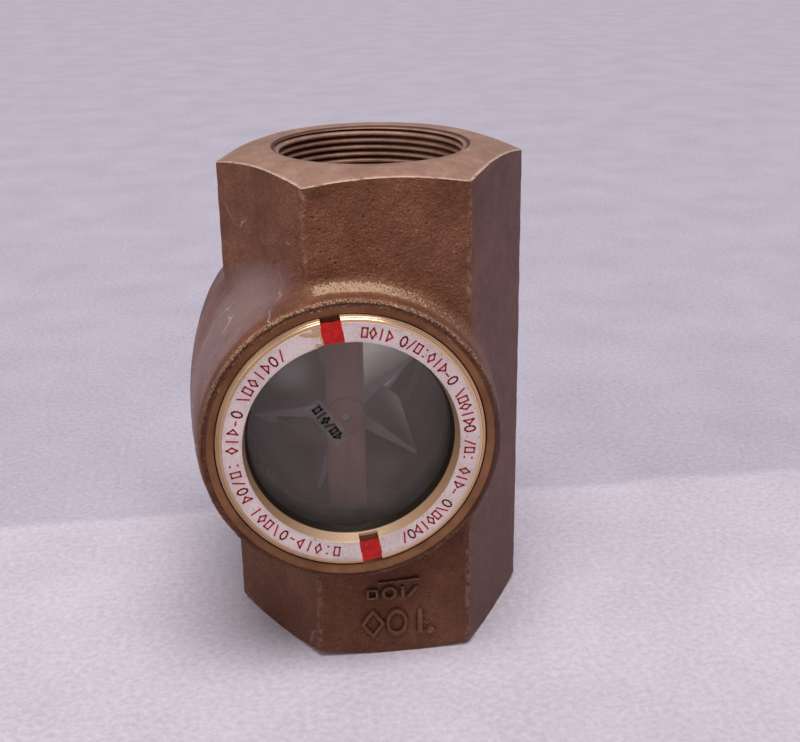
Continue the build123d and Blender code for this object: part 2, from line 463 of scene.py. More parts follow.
def cast_bronze():
    f = Finish("cast_bronze", Metallic=0.4, Specular_IOR_Level=0.22)
    x, y, z, from_window = f.where()
    out = y.size()
    grain = f.noise(0.55 * MM, detail=3.0, roughness=0.65)
    lumps = f.noise(2.4 * MM, detail=3.0, roughness=0.6)
    blotch = f.noise(15 * MM, detail=5.0, roughness=0.62)
    cloud = f.noise(40 * MM, detail=3.0)

    # where the surface is: right-hand faces, barrel wall, fillet over the barrel, rim
    right = x.step(*RIGHT_FACES)
    wall = between(from_window, 44 * MM, 48 * MM, 7 * MM)
    wall = wall * (1 - out.step(*WALL_END))
    wall_left = wall * (CENTRE.x - x).step(*WALL_LEFT)
    fillet = between(from_window, 44 * MM, 46 * MM, 2.4 * MM)
    fillet = fillet * between(out, FLAT - MM, FLAT + 3.6 * MM, 2.8 * MM)
    fillet = fillet * (z - CENTRE.z).step(*BAND_HEIGHT) * x.step(*BAND_START)
    fillet = fillet * (1 - x.step(*BAND_FADE) * 0.35)
    rim = out.step(*RIM_TOP)
    crest = rim * from_window.step(*RIM_CREST)
    hollow = rim * between(from_window, *RIM_HOLLOW, 0.25 * MM)
    sandy = ((1 - right) * (1 - wall_left)).clamped()

    tone = blotch * 0.55 + lumps * 0.25 + grain * 0.20
    brown = f.tones(tone, BROWN)
    mauve = f.tones(tone, MAUVE)
    bloom = (0.04 + right * 0.85 + wall_left * 0.6 + (cloud - 0.5) * 0.6).clamped()
    colour = f.mix(bloom, brown, mauve)
    colour = f.mix(wall_left * cloud.step(0.35, 0.60) * 0.55, colour, DUSTY)
    # painted shade: the right-hand faces are darkened
    colour = f.mix(right * 0.20, colour, STAIN_AND_SHADE)
    # real stains from slow noise, plus painted shade in the hollow behind the rim's crest
    stain = f.noise(7 * MM, detail=6.0, roughness=0.7).step(0.58, 0.72) * 0.45
    colour = f.mix((stain + hollow * 0.55).clamped(), colour, STAIN_AND_SHADE)
    sand = f.noise(0.95 * MM, detail=2.0, roughness=0.55)
    # painted highlight: glints on the grain
    glint = grain.step(0.57, 0.68) * sandy * blotch.step(0.35, 0.62)
    colour = f.mix((glint * 0.36).clamped(), colour, PALE_WEAR_AND_GLINT)
    # painted highlight: a gold band on the fillet over the barrel, strongest on the left
    lit_grains = (grain + (fillet - 0.80) * 0.5).step(0.44, 0.60)
    colour = f.mix((fillet * 0.14 + lit_grains * 0.66).clamped(), colour, GOLD_HIGHLIGHT)
    # painted shade in the pits
    pits = f.cells(1.7 * MM).step(0.30, 0.12) * lumps.step(0.50, 0.62) * sandy
    colour = f.mix(pits * 0.7, colour, STAIN_AND_SHADE)
    # rubbed edges, plus painted highlights: stronger on the upper edges, on the top of the rim's crest
    # and on the marks' proud faces
    upper = (z - CENTRE.z).step(0.0, 34 * MM)
    plain = from_window.step(*PAST_BARREL)
    arris = f.radius(x, y).step(*ARRIS) * plain
    wear_and_highlight = edge_wear(f) * (0.25 + upper * 0.4) + crest * upper * grain.step(0.42, 0.6) * 0.5
    proud = out.step(*PROUD_OF_FACE) * plain * x.size().step(18 * MM, 16 * MM)
    wear_and_highlight = (wear_and_highlight + arris * lumps.step(0.42, 0.60) * 0.24 + proud * 0.05).clamped()
    colour = f.mix(wear_and_highlight, colour, PALE_WEAR_AND_GLINT)
    # painted shade in concave creases, strongest round the foundry marks
    marked = z.step(*MARKS_TOP) * x.size().step(18 * MM, 15 * MM)
    crease = f.node("NewGeometry", output="Pointiness").step(0.50, 0.45) * plain
    colour = f.mix(crease * (0.35 + marked * 0.6), colour, STAIN_AND_SHADE)
    bent = {"Vector": f.warped(9 * MM, 5 * MM), "Scale": 1 / (19 * MM)}
    veins = f.node("TexVoronoi", {"feature": "DISTANCE_TO_EDGE"}, bent)
    zone = f.noise(13 * MM, detail=2.0).step(0.49, 0.60) * (-1 * x).step(*SCRATCHED_SIDE)
    zone = zone * (1 - y.step(*SCRATCHED_FRONT) * 0.75)
    scratch = veins.step(0.026, 0.006) * zone * (1 - rim)
    colour = f.mix(scratch * 0.55, colour, PALE_SCRATCH)
    skin = grain * (0.35 + sandy * 0.5 + fillet * 0.9) + lumps * 0.5
    skin = skin + sand * (0.3 + sandy * 0.7 + fillet)
    # painted shade: darker towards the bottom
    lower_shade = 1 - z.step(*FOOT)
    colour = f.mix(lower_shade * 0.38, colour, STAIN_AND_SHADE)
    return f.wear(
        Base_Color=colour,
        Roughness=(0.46 + blotch * 0.2 - (glint + wear_and_highlight) * 0.12).clamped(),
        Normal=f.bump(skin - pits * 0.5, 0.62 * MM, 1.0),
    )


CAST_BRONZE = cast_bronze()
print("casting finish:", len(CAST_BRONZE.node_tree.nodes), "nodes")

# %% [markdown]
# Where the casting was machined, on both end faces, in the ports and round each window's mouth, the
# metal is paler and smoother, with fine tool lines that run round the cut, and it has dulled with age.
# Inside the rotor's chamber the metal is made nearly black, and painted shade darkens the thread's roots
# and the passage deep inside.

# %% Machined bronze
TOOL_LINE = 0.45 * MM
CHAMBER_R = 31 * MM
PASSAGE_DARK = 24 * MM
PITCH = 2.209 * MM
CREST_R = 28.3 * MM
PORT_TURNS = 11
PORT_TAPER = 1 / 32
THREAD_LENGTH = PORT_TURNS * PITCH
CUT_BRONZE = (rgb(0.410, 0.222, 0.160), rgb(0.510, 0.290, 0.212), rgb(0.620, 0.380, 0.280))
BURR = rgb(0.86, 0.66, 0.50)
PIPE_WALL = (30.2 * MM, 30.8 * MM)
GROOVE_DEPTH = (0.7 * MM, 1.7 * MM)
BURR_EDGE = (FLAT - 1.2 * MM, FLAT - 0.35 * MM)
RIM_LAND = (RING_OUT - 4 * MM, RING_OUT - 3 * MM)
FACED_END = (13 * MM, 9 * MM)


def machined_bronze():
    f = Finish("machined_bronze", Metallic=0.7, Specular_IOR_Level=0.3)
    x, y, z, from_window = f.where()
    from_pipe = f.radius(x, y)
    blotch = f.noise(12 * MM, detail=5.0, roughness=0.65)
    smear = f.noise(2.6 * MM, detail=4.0, roughness=0.65)
    colour = f.tones(blotch * 0.6 + smear * 0.4, CUT_BRONZE)
    dirt = f.noise(1.1 * MM, detail=4.0, roughness=0.7).step(0.62, 0.70) * 0.4
    in_chamber = (1 - from_window.step(CHAMBER_R, CHAMBER_R + MM)) * (1 - y.size().step(SEAT - MM, SEAT))
    in_pipe = 1 - from_pipe.step(*PIPE_WALL)
    near_end = between(z, -PASSAGE_DARK, PASSAGE_DARK, MM)
    threaded = in_pipe * (near_end + between(z, HEIGHT - PASSAGE_DARK, HEIGHT + MM, MM))
    deep = in_pipe * (1 - threaded.clamped())
    from_end = HEIGHT / 2 - (z - CENTRE.z).size()
    crest_here = CREST_R - from_end * PORT_TAPER
    groove_shade = (from_pipe - crest_here).step(*GROOVE_DEPTH) * threaded.clamped() * 0.85
    # small specks are real dirt; the thread's roots and the deep passage get painted shade, and the
    # chamber's wall is made nearly black
    colour = f.mix((dirt + groove_shade + in_chamber * 0.92 + deep * 0.7).clamped(), colour, STAIN_AND_SHADE)
    slopes = [x * math.cos(turn) + y * math.sin(turn) for turn in map(math.radians, (30, 90, 150))]
    beyond = slopes[0].size().larger(slopes[1].size()).larger(slopes[2].size())
    burr = beyond.step(*BURR_EDGE) * smear.step(0.34, 0.52)
    colour = f.mix(burr * 0.85, colour, BURR)
    land = y.size().step(*RIM_LAND)
    patina = f.ramp(blotch, (0.36, rgb(0.200, 0.088, 0.042)), (0.64, rgb(0.320, 0.152, 0.078)))
    colour = f.mix(land, colour, patina)
    wobble = smear * (0.35 * MM)
    faced = from_end.step(*FACED_END)
    lines = ((from_pipe + wobble) * (2 * math.pi / TOOL_LINE)).sine()
    grain = f.noise(0.8 * MM, detail=3.0)
    uneven = lines * faced * 0.08 + grain * 0.7 + smear * 0.4
    return f.wear(
        Base_Color=colour,
        Roughness=(0.40 + blotch * 0.22 + dirt * 0.3).clamped(),
        Normal=f.bump(uneven * (1 - in_chamber).clamped(), 0.12 * MM, 0.8),
    )


MACHINED_BRONZE = machined_bronze()
print("machined finish:", len(MACHINED_BRONZE.node_tree.nodes), "nodes")

# %% [markdown]
# ## The casting
# A sand casting has no sharp inside corners: the metal flows in a soft fillet wherever the barrel
# meets the hexagon. Bevelling that join edge by edge would be fragile, so the rough casting is made as
# the foundry makes it. Two simple solids are joined, the whole is turned into one even skin of small
# faces by a voxel remesh, and the skin is smoothed only near the join. The ends are left too long,
# because the lathe will trim them.

# %% Pattern: hexagon and crowned barrel
TRIM = 3 * MM
HEX_EDGE = 0.6 * MM
RIM_R = RING_R + 4.8 * MM
CROWN_R = CENTRE.x - cad_low.x
RIM_EDGE = 1.3 * MM
CROWN_STEPS = 14


def crown_radius(out):
    """The barrel's radius at a distance from the hinge: a shallow arc from rim to rim."""
    rise = CROWN_R - RIM_R
    arc = (RIM_OUT**2 + rise**2) / (2 * rise)
    return CROWN_R - arc + math.sqrt(arc**2 - out**2)


bpy.ops.mesh.primitive_cylinder_add(vertices=6, radius=CORNER_R, depth=HEIGHT + 2 * TRIM)
casting = bpy.context.object
casting.name = "body"
casting.location = (0, 0, HEIGHT / 2)
casting.rotation_euler = (0, 0, math.radians(30))
settle(casting)
apply_modifier(casting, "BEVEL", width=HEX_EDGE, segments=3, limit_method="ANGLE")

stations = [RIM_OUT * (2 * i / CROWN_STEPS - 1) for i in range(1, CROWN_STEPS)]
wall = [(crown_radius(out), out) for out in stations]
rim_end = [
    (RIM_R - 0.3 * RIM_EDGE, RIM_OUT - 0.3 * RIM_EDGE),
    (RIM_R - RIM_EDGE, RIM_OUT),
    (0.0, RIM_OUT),
]
rim_start = [(radius, -out) for radius, out in reversed(rim_end)]
barrel = lathe("barrel", rim_start + wall + rim_end, closed=False)
cut(casting, place(barrel), "UNION")
print("rough pattern:", len(casting.data.polygons), "faces")

# %% Skin and fillets
VOXEL = 1.0 * MM
FILLET_REACH = 7 * MM
FILLET_PASSES = 26
SKIN_PASSES = 2
LUMP_SIZE = 5.5 * MM
LUMP_HEIGHT = 0.35 * MM
RAGGED_SIZE = 1.8 * MM
RAGGED_HEIGHT = 0.8 * MM
RAGGED_REACH = 2.4 * MM


def wear_both(piece):
    """Gives a piece the casting's two finishes, mould skin first and cut metal second."""
    piece.data.materials.clear()
    piece.data.materials.append(CAST_BRONZE)
    piece.data.materials.append(MACHINED_BRONZE)


def hex_depth(point):
    """How far a point is outside the hexagon's nearest flat; inside it is negative."""
    turns = (math.radians(30 + 60 * k) for k in range(6))
    return max(point.x * math.cos(t) + point.y * math.sin(t) for t in turns) - FLAT


def barrel_depth(point):
    """How far a point is outside the barrel's wall; inside it is negative."""
    out = min(abs(point.y), RIM_OUT)
    return math.hypot(point.x - CENTRE.x, point.z - CENTRE.z) - crown_radius(out)


apply_modifier(casting, "REMESH", mode="VOXEL", voxel_size=VOXEL, adaptivity=0.0)
near_join = casting.vertex_groups.new(name="near_join")
for vertex in casting.data.vertices:
    away = max(abs(hex_depth(vertex.co)), abs(barrel_depth(vertex.co)))
    if away < FILLET_REACH:
        near_join.add([vertex.index], 1 - (away / FILLET_REACH) ** 2, "REPLACE")
apply_modifier(casting, "SMOOTH", factor=0.5, iterations=FILLET_PASSES, vertex_group="near_join")
apply_modifier(casting, "SMOOTH", factor=0.5, iterations=SKIN_PASSES)
roughen(casting, "mould_lumps", "CLOUDS", LUMP_SIZE, strength=LUMP_HEIGHT, mid_level=0.5)
at_rim = casting.vertex_groups.new(name="at_rim")
for vertex in casting.data.vertices:
    from_rim = math.hypot(abs(vertex.co.y) - RIM_OUT, barrel_depth(vertex.co))
    if from_rim < RAGGED_REACH:
        at_rim.add([vertex.index], 1 - from_rim / RAGGED_REACH, "REPLACE")
ragged = {"strength": RAGGED_HEIGHT, "mid_level": 0.6, "vertex_group": "at_rim"}
roughen(casting, "ragged_rim", "CLOUDS", RAGGED_SIZE, **ragged)
casting.vertex_groups.clear()
wear_both(casting)
print("cast skin:", len(casting.data.polygons), "faces")

# %% [markdown]
# The lathe comes next. Each cutter below carries the two finishes in the same order as the casting,
# and its faces are marked as machined, so the boolean leaves bright metal where it cut and leaves the
# mould's skin everywhere else.

# %% Trim both ends
END_CONE_SLOPE = 0.346
TOP_FLAT_R = 36.1 * MM
BOTTOM_FLAT_R = 40.5 * MM
CLEAR_R = 85 * MM


def cutter(tool, finish_index=1):
    """Gives a cutting tool the casting's finishes and says which of them its cut leaves."""
    wear_both(tool)
    tool.data.polygons.foreach_set("material_index", [finish_index] * len(tool.data.polygons))
    return tool


envelope = [
    (0, 0),
    (BOTTOM_FLAT_R, 0),
    (CLEAR_R, (CLEAR_R - BOTTOM_FLAT_R) * END_CONE_SLOPE),
    (CLEAR_R, HEIGHT - (CLEAR_R - TOP_FLAT_R) * END_CONE_SLOPE),
    (TOP_FLAT_R, HEIGHT),
    (0, HEIGHT),
]
cut(casting, cutter(lathe("envelope", envelope, closed=False)), "INTERSECT")
print("trimmed:", len(casting.data.polygons), "faces")

# %% [markdown]
# A pipe thread is one V groove that climbs as it goes round, in a hole that narrows slowly inwards. The
# Screw modifier makes it from the outline of a single turn: the outline is turned and lifted by one
# pitch each time round, and the turns are then joined where they meet. Both open ends are drawn
# together to a point on the axis, so that the tap is a closed solid and can cut. A Simple Deform
# modifier then gives it its taper, and one tap is turned over for the port underneath.

# %% Bore the passage and tap the ports
PASSAGE_R = 26.2 * MM
ROOT_R = 30.07 * MM
CREST_FLAT = 0.42 * MM
ROOT_FLAT = 0.12 * MM
MOUTH_R = 30.6 * MM
MOUTH_DEPTH = 1.1 * MM
THREAD_OUT = 1.6 * PITCH
NARROWED = (THREAD_LENGTH - THREAD_OUT) * PORT_TAPER
DRILL_DEPTH = 25.5 * MM


def tap(name, port):
    """A tapered, threaded cutter, wide end outwards at a port."""
    rise = (PITCH - CREST_FLAT - ROOT_FLAT) / 2
    crest, root = CREST_R - NARROWED, ROOT_R - NARROWED
    outline = [
        (crest, 0),
        (crest, CREST_FLAT),
        (root, CREST_FLAT + rise),
        (root, CREST_FLAT + rise + ROOT_FLAT),
        (crest, PITCH),
    ]
    piece = start_outline(name, outline[0])
    pull_outline(outline)
    bpy.ops.object.mode_set(mode="OBJECT")
    fineness = {"steps": TURN_STEPS, "render_steps": TURN_STEPS}
    turns = {"angle": 2 * math.pi, "screw_offset": PITCH, "iterations": PORT_TURNS}
    apply_modifier(piece, "SCREW", axis="Z", **turns, **fineness)
    bpy.ops.object.mode_set(mode="EDIT")
    join_doubles()
    bpy.ops.mesh.select_all(action="DESELECT")
    bpy.ops.mesh.select_non_manifold(extend=False)
    bpy.ops.mesh.extrude_region_move(TRANSFORM_OT_translate={"value": (0, 0, 0)})
    bpy.ops.mesh.merge(type="COLLAPSE")
    bpy.ops.mesh.select_all(action="SELECT")
    bpy.ops.mesh.normals_make_consistent(inside=False)
    bpy.ops.object.mode_set(mode="OBJECT")
    widening = THREAD_LENGTH * PORT_TAPER / crest
    apply_modifier(piece, "SIMPLE_DEFORM", deform_method="TAPER", deform_axis="Z", factor=widening)
    piece.data.transform(port @ Matrix.Translation((0, 0, THREAD_OUT - THREAD_LENGTH)))
    return piece


def cone(name, low, high):
    """A closed cone frustum between two (radius, height) points."""
    return lathe(name, [(0, low[1]), low, high, (0, high[1])], closed=False)


drill_r = CREST_R - NARROWED
lead_r = 2 * MOUTH_R - CREST_R
port_tools = [
    cone("passage", (PASSAGE_R, -MM), (PASSAGE_R, HEIGHT + MM)),
    cone("lower_drill", (drill_r, -MM), (drill_r, DRILL_DEPTH)),
    cone("upper_drill", (drill_r, HEIGHT - DRILL_DEPTH), (drill_r, HEIGHT + MM)),
    tap("upper_tap", Matrix.Translation((0, 0, HEIGHT))),
    tap("lower_tap", Matrix.Rotation(math.pi, 4, "X")),
    cone("lower_mouth", (lead_r, -MOUTH_DEPTH), (CREST_R, MOUTH_DEPTH)),
    cone("upper_mouth", (CREST_R, HEIGHT - MOUTH_DEPTH), (lead_r, HEIGHT + MOUTH_DEPTH)),
]
for tool in port_tools:
    cut(casting, cutter(tool))
print("ported:", len(casting.data.polygons), "faces")

# %% [markdown]
# One tool bores both windows at once: the rotor's chamber right through, a ledge for the seal, a wider
# bore for the glass and the widest for the screwed ring. Outside it, the rim keeps a rough hollow and
# a raised lip as cast.

# %% Bore the window mouths
GLASS_BORE_R = 37.6 * MM
THREAD_BORE_R = 40 * MM
BORE_MOUTH_R = 42.1 * MM
BORE_LIP_OUT = RING_OUT - 1.05 * MM
HOLLOW_DEPTH = 0.45 * MM
HOLLOW_R = 42.9 * MM
HOLLOW_HALF = 0.8 * MM
STRAP_PLAY = 0.2 * MM
mouth_out = RIM_OUT - HOLLOW_DEPTH
half_bore = [
    (CHAMBER_R, SEAT),
    (GLASS_BORE_R, SEAT),
    (GLASS_BORE_R, RING_IN - 0.6 * MM),
    (THREAD_BORE_R, RING_IN - 0.6 * MM),
    (THREAD_BORE_R, BORE_LIP_OUT),
    (BORE_MOUTH_R, mouth_out),
    (BORE_MOUTH_R, RIM_OUT + MM),
    (0, RIM_OUT + MM),
]
other_half = [(radius, -out) for radius, out in reversed(half_bore)]
window_bore = place(lathe("window_bore", other_half + half_bore, closed=False))
cut(casting, cutter(window_bore))

hollow_top = RIM_OUT + MM / 4
hollow_outline = [
    (HOLLOW_R + HOLLOW_HALF * math.cos(turn), hollow_top - (hollow_top - mouth_out) * math.sin(turn))
    for turn in (math.pi * i / 8 for i in range(9))
]
for side in ("front", "rear"):
    hollow = lathe("rim_hollow", [*hollow_outline, (HOLLOW_R, RIM_OUT + MM)])
    roughen(hollow, "hollow_roughness", "CLOUDS", 2.2 * MM, strength=0.5 * MM, mid_level=0.5)
    cut(casting, cutter(place(hollow, side), finish_index=0))

strap_low, strap_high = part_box("front_bracket_strap")
strap_size = strap_high - strap_low
bpy.ops.mesh.primitive_cube_add(size=1, location=CENTRE)
pocket = bpy.context.object
bpy.ops.transform.resize(
    value=(strap_high.x - strap_low.x + STRAP_PLAY, 2 * SEAT, strap_high.z - strap_low.z + STRAP_PLAY)
)
bpy.ops.object.transform_apply(location=True, rotation=True, scale=True)
strap_in = -strap_high.y
cut(pocket, place(cone("between_straps", (GLASS_BORE_R, -strap_in), (GLASS_BORE_R, strap_in))))
cut(casting, cutter(pocket))
print("bored:", len(casting.data.polygons), "faces")

# %% [markdown]
# Foundries add raised marks to a pattern, so that a casting can be traced. These are plain shapes that
# say nothing: a short row under a rule, and a taller row below it. Each mark is a thin solid whose top
# edges are melted over by a bevel, sunk a little into the lower face and then joined to the casting.

# %% Raised foundry marks
MARK_PROUD = 1.1 * MM
MARK_SUNK = 1.0 * MM
MARK_SOFTEN = 0.34 * MM
STROKE = 1.15 * MM
UPPER_ROW_Z = 22.0 * MM
LOWER_ROW_Z = 11.2 * MM


def raised(piece, squeeze=1.0):
    """Melts the edges of a mark, makes it narrower and joins it to the front face."""
    apply_modifier(piece, "BEVEL", width=MARK_SOFTEN, segments=2, limit_method="ANGLE")
    settle(piece, (squeeze, 1, 1))
    wear_both(piece)
    cut(casting, piece, "UNION")


def mark_rod(x, z, length, lean, width=STROKE):
    """A straight stroke: its middle, its length and how far it leans from upright."""
    middle = (x, -FLAT + (MARK_SUNK - MARK_PROUD) / 2, z)
    raised(block((width, MARK_SUNK + MARK_PROUD, length), middle, (0, math.radians(lean), 0)))


def mark_loop(x, z, size, corners, turn, width=STROKE, squeeze=1.0):
    """A closed outline with a number of corners, made narrower: many corners make a ring."""
    outer, inner = size / 2, size / 2 - width
    outline = [(outer, -MARK_SUNK), (outer, MARK_PROUD), (inner, MARK_PROUD), (inner, -MARK_SUNK)]
    loop = lathe("mark", outline, steps=corners)
    loop.data.transform(Matrix.Rotation(math.radians(turn), 4, "Z"))
    loop.rotation_euler = (math.pi / 2, 0, 0)
    loop.location = (x, -FLAT, z)
    raised(loop, squeeze)


mark_rod(1.4 * MM, 26.2 * MM, 13.4 * MM, 87.0, 0.6 * MM)
mark_loop(-7.0 * MM, UPPER_ROW_Z, 5.2 * MM, 4, 45)
mark_loop(-1.6 * MM, UPPER_ROW_Z, 5.0 * MM, 24, 0)
mark_rod(2.6 * MM, UPPER_ROW_Z, 4.6 * MM, 0)
mark_rod(5.8 * MM, UPPER_ROW_Z, 4.8 * MM, 40)
mark_loop(-7.0 * MM, LOWER_ROW_Z, 10.8 * MM, 4, 0, 1.9 * MM, 0.74)
mark_loop(0.6 * MM, LOWER_ROW_Z, 9.8 * MM, 24, 0, 1.6 * MM, 0.70)
mark_rod(8.0 * MM, LOWER_ROW_Z, 9.2 * MM, 0, 1.6 * MM)
mark_loop(11.4 * MM, LOWER_ROW_Z - 3.6 * MM, 2.4 * MM, 12, 0, 1.1 * MM)

shade(casting, 40)
fit(casting, "housing", "cast_bronze", ["body_casting"])

# %% [markdown]
# ## The window stack
# Brass for the screwed ring: it was turned, so its colour runs in thin rings. Its edge has gone olive in
# patches, and its left side is made olive as painted shade. Its eye is brighter near the slot as a
# painted highlight, and the eye's deep end is near black with painted shade. The two windows share one
# finish, because the pattern only needs the distance from the window's axis.

# %% Turned brass
EYE_EDGE = (31.9 * MM, 32.1 * MM)
EYE_SHADE = (RING_OUT - 4.9 * MM, RING_OUT - 4.4 * MM)
FROM_SLOT = (MM, 24 * MM)
OLIVE_SIDE = (-18 * MM, 30 * MM)


def turned_brass():
    f = Finish("turned_brass")
    x, y, z, from_window = f.where()
    turned = from_window + y.size() * 0.7
    look = {"W": turned, "Scale": 1 / (0.35 * MM), "Detail": 3.0, "Roughness": 0.7}
    rings = f.node("TexNoise", {"noise_dimensions": "1D"}, look)
    blotch = f.noise(11 * MM, detail=4.0, roughness=0.6)
    # painted shade: the ring is made olive towards its left side, on top of the olive tarnish patches
    left = (CENTRE.x - x).step(*OLIVE_SIDE)
    dull = ((blotch - 0.5) * 0.8 + left * 0.62).clamped()
    bright = f.ramp(
        rings, (0.35, rgb(0.74, 0.47, 0.25)), (0.55, rgb(0.86, 0.61, 0.38)), (0.7, rgb(0.94, 0.74, 0.53))
    )
    olive = f.ramp(rings, (0.35, rgb(0.30, 0.18, 0.095)), (0.65, rgb(0.46, 0.29, 0.16)))
    colour = f.mix(dull * 0.85, bright, olive)
    in_eye = 1 - from_window.step(*EYE_EDGE)
    # painted highlight: the eye is brighter near the ends of the slot
    beside_slot = 1 - (x - CENTRE.x).size().step(*FROM_SLOT)
    lit = f.mix(beside_slot, rgb(0.52, 0.31, 0.17), rgb(0.95, 0.70, 0.47))
    colour = f.mix(in_eye * (0.45 + rings * 0.6).clamped(), colour, lit)
    # painted shade: the eye's deep end is near black
    shade_line = 1 - y.size().step(*EYE_SHADE)
    colour = f.mix(shade_line * 0.97, colour, rgb(0.010, 0.007, 0.006))
    dirt = f.noise(1.5 * MM, detail=4.0, roughness=0.7).step(0.64, 0.72) * 0.4
    colour = f.mix(dirt, colour, rgb(0.13, 0.075, 0.04))
    return f.wear(
        Base_Color=colour,
        Metallic=(0.92 - in_eye * 0.42).clamped(),
        Roughness=(0.24 + dull * 0.22 + dirt * 0.3).clamped(),
        Normal=f.bump(rings, 0.05 * MM, 0.6),
    )


TURNED_BRASS = turned_brass()
print("brass finish:", len(TURNED_BRASS.node_tree.nodes), "nodes")

# %% [markdown]
# The ring is turned from one outline: a thread behind, a bevelled edge with two fine decorative
# grooves, a flat face and a tapering eye. Its spanner slot is then milled straight across. Both rings
# are modelled with their slot level and turned into place when they are screwed in.

# %% Retaining rings
RING_BEVEL = 1.2 * MM
EYE_FACE_R = 31.85 * MM
EYE_BACK_R = 30.3 * MM
GROOVE = 0.14 * MM
SLOT_WIDTH = 5.8 * MM
SLOT_DEPTH = 3.9 * MM
SLOT_TURN = {"front": math.radians(97.7), "rear": math.radians(63.0)}
RING_STEPS = 192


def groove(radius, out):
    """A fine V in the bevel, as three points of the outline."""
    return [
        (radius + GROOVE, out - GROOVE),
        (radius - GROOVE * 0.9, out - GROOVE * 0.9),
        (radius - GROOVE, out + GROOVE),
    ]


ring_outline = [
    (EYE_BACK_R, RING_IN),
    (RING_R - 0.6 * MM, RING_IN),
    (RING_R, RING_IN + 0.6 * MM),
    (RING_R, RING_OUT - RING_BEVEL),
    *groove(RING_R - 0.40 * MM, RING_OUT - 0.80 * MM),
    *groove(RING_R - 0.85 * MM, RING_OUT - 0.35 * MM),
    (RING_R - RING_BEVEL, RING_OUT),
    (EYE_FACE_R + 0.35 * MM, RING_OUT),
    (EYE_FACE_R, RING_OUT - 0.25 * MM),
    (EYE_BACK_R + 0.2 * MM, RING_IN + 0.4 * MM),
]
ring = lathe("front_ring", ring_outline, steps=RING_STEPS)
cut(ring, block((3 * RING_R, SLOT_WIDTH, 2 * SLOT_DEPTH), (0, 0, RING_OUT)))
shade(ring, 24)
rings = {"front": ring, "rear": copy_of(ring, "rear_ring")}
for side, piece in rings.items():
    place(piece, side, SLOT_TURN[side])
    fit(piece, "housing", "ring_brass", [f"{side}_retaining_ring"], TURNED_BRASS)

# %% [markdown]
# The printed ring is stuck on the brass. Its white has gone grey with handling, and dirt has gathered
# along its outer edge and in small specks.

# %% Label finishes
PAPER = (rgb(0.50, 0.40, 0.395), rgb(0.66, 0.53, 0.52), rgb(0.79, 0.645, 0.63))


def label_white():
    f = Finish("label_white", Roughness=0.45)
    x, y, z, from_window = f.where()
    fine = f.noise(0.5 * MM, detail=3.0, roughness=0.6)
    cloud = f.noise(7 * MM, detail=4.0, roughness=0.6)
    colour = f.tones(fine * 0.5 + cloud * 0.5, PAPER)
    outer_edge = from_window.step(LABEL_R - 1.6 * MM, LABEL_R)
    edge = outer_edge + (1 - from_window.step(EYE_FACE_R, EYE_FACE_R + MM))
    specks = f.noise(1.1 * MM, detail=4.0).step(0.64, 0.72)
    dirt = fine.step(0.50, 0.68) * edge * 0.65 + specks * 0.5
    colour = f.mix(dirt.clamped(), colour, rgb(0.20, 0.14, 0.11))
    return f.wear(
        Base_Color=colour,
        Roughness=(0.38 + cloud * 0.25).clamped(),
        Normal=f.bump(fine + cloud, 0.04 * MM, 0.5),
    )


def red_ink(name, deep, bright):
    """Red that has faded unevenly."""
    f = Finish(name, Roughness=0.4, Specular_IOR_Level=0.25)
    cloud = f.noise(2.4 * MM, detail=4.0, roughness=0.65)
    colour = f.ramp(cloud, (0.35, deep), (0.65, bright))
    scuff = f.noise(0.6 * MM, detail=3.0).step(0.64, 0.72) * 0.2
    colour = f.mix(scuff, colour, rgb(0.55, 0.30, 0.26))
    return f.wear(
        Base_Color=colour,
        Roughness=(0.30 + cloud * 0.3).clamped(),
        Normal=f.bump(cloud, 0.12 * MM, 0.8),
    )


LABEL_WHITE = label_white()
LABEL_RED = red_ink("label_red", rgb(0.40, 0.006, 0.006), rgb(0.62, 0.012, 0.010))
PRINT_RED = red_ink("print_red", rgb(0.31, 0.009, 0.020), rgb(0.42, 0.016, 0.032))
print("label finishes ready")

# %% [markdown]
# The printed ring is cut from a thin disc: a gap at each end of the slot for the red markers, and a few
# leaf-shaped tears beside the upper one, where the brass shows through. The tears have rough edges.

# %% Label rings
LABEL_T = RIM_OUT - RING_OUT
MARKER_W = 6.2 * MM
MARKER_IN_R = 31.9 * MM
MARKER_OUT_R = 38.3 * MM
FRAY = 0.35 * MM
CUT_THROUGH = 4 * MM
# length, width and distance from the axis in mm, then place round the ring and lean in degrees
TEARS = (
    (6.4, 1.5, 36.0, 9.8, 66),
    (4.2, 3.4, 37.0, 5.8, 20),
    (5.0, 1.6, 34.2, 4.8, 4),
    (3.4, 1.5, 32.1, 6.8, 62),
)


def tear(length, width, radius, angle, lean):
    """A leaf-shaped tool that stands at a polar place on the ring."""
    bpy.ops.mesh.primitive_cylinder_add(vertices=28, radius=0.5, depth=1)
    leaf = bpy.context.object
    leaf.location = (radius * math.cos(angle), radius * math.sin(angle), RIM_OUT)
    leaf.rotation_euler = (0, 0, angle + lean)
    settle(leaf, (length, width, CUT_THROUGH))
    roughen(leaf, "torn_edge", "CLOUDS", 0.9 * MM, strength=FRAY, mid_level=0.5)
    return leaf


